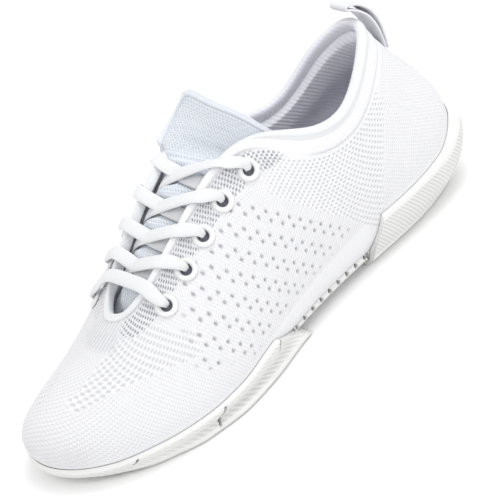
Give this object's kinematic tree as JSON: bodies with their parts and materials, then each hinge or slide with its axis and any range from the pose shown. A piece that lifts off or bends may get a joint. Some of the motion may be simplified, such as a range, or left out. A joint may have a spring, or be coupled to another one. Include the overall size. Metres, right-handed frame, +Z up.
{
  "type": "cheer shoe",
  "caption": "Low white knitted lace-up cheer shoe with a split flexible sole, padded collar, ribbed tongue and a webbing pull loop at the heel.",
  "frame": {"origin": "middle of the shoe's bounding box seen from above, on the floor it stands on", "axes": "+X towards the outer side of the left foot, +Y towards the heel, +Z up; the toe points along -Y"},
  "size_m": [0.0904, 0.2594, 0.1115],
  "materials": {
    "rubber": "smooth matt, fine ribs on the side walls",
    "midsole_foam": "matt foam",
    "arch_plastic": "matt",
    "board": "matt fibre board",
    "insole_foam": "brushed cloth over foam",
    "knit": "knitted, with ribs and open holes",
    "lining": "ribbed knit",
    "stiffener": "matt",
    "padding": "open foam",
    "binding": "fine knitted edge",
    "stay": "bonded film",
    "eyelet": "semi-matt moulded",
    "lace": "flat woven braid",
    "tongue_mesh": "fine ribbed mesh",
    "webbing": "woven twill tape"
  },
  "bodies": {
    "shoe": {"outsole_ball": "rubber", "outsole_heel": "rubber", "midsole_ball": "midsole_foam", "midsole_heel": "midsole_foam", "arch_shank": "arch_plastic", "lasting_board_rear": "board", "insole_rear": "insole_foam", "upper_vamp": "knit", "upper_quarters": "knit", "lining_vamp": "lining", "lining_quarters": "lining", "heel_counter": "stiffener", "collar_foam": "padding", "collar_binding": "binding", "eyestay_lateral": "stay", "eyestay_medial": "stay", "eyelets_lateral": "eyelet", "eyelets_medial": "eyelet", "lace": "lace", "tongue_lower": "tongue_mesh", "pull_loop_base": "webbing"},
    "toe": {"outsole_toe": "rubber", "midsole_toe": "midsole_foam", "lasting_board_toe": "board", "insole_toe": "insole_foam", "upper_toe": "knit", "lining_toe": "lining", "toe_puff": "stiffener"},
    "tongue_top": {"tongue_top_face": "tongue_mesh", "tongue_top_foam": "padding", "tongue_edge_binding": "binding"},
    "pull_loop": {"pull_loop": "webbing"}
  },
  "joints": [
    {"name": "toe_flex", "type": "hinge", "parent": "shoe", "child": "toe", "pos_m": [0, -0.0631, 0.01], "axis": [-1, 0, 0], "range_deg": [0, 22], "stiffness_Nm_per_rad": 1.2, "deforming": ["upper_vamp", "lining_vamp"]},
    {"name": "tongue_fold", "type": "hinge", "parent": "shoe", "child": "tongue_top", "pos_m": [0, -0.0051, 0.085], "axis": [1, 0, 0], "range_deg": [0, 40], "stiffness_Nm_per_rad": 0.03},
    {"name": "pull_loop_flip", "type": "hinge", "parent": "shoe", "child": "pull_loop", "pos_m": [-0.00231, 0.107, 0.0836], "axis": [-1, 0, 0], "range_deg": [0, 75], "stiffness_Nm_per_rad": 0.01}
  ]
}
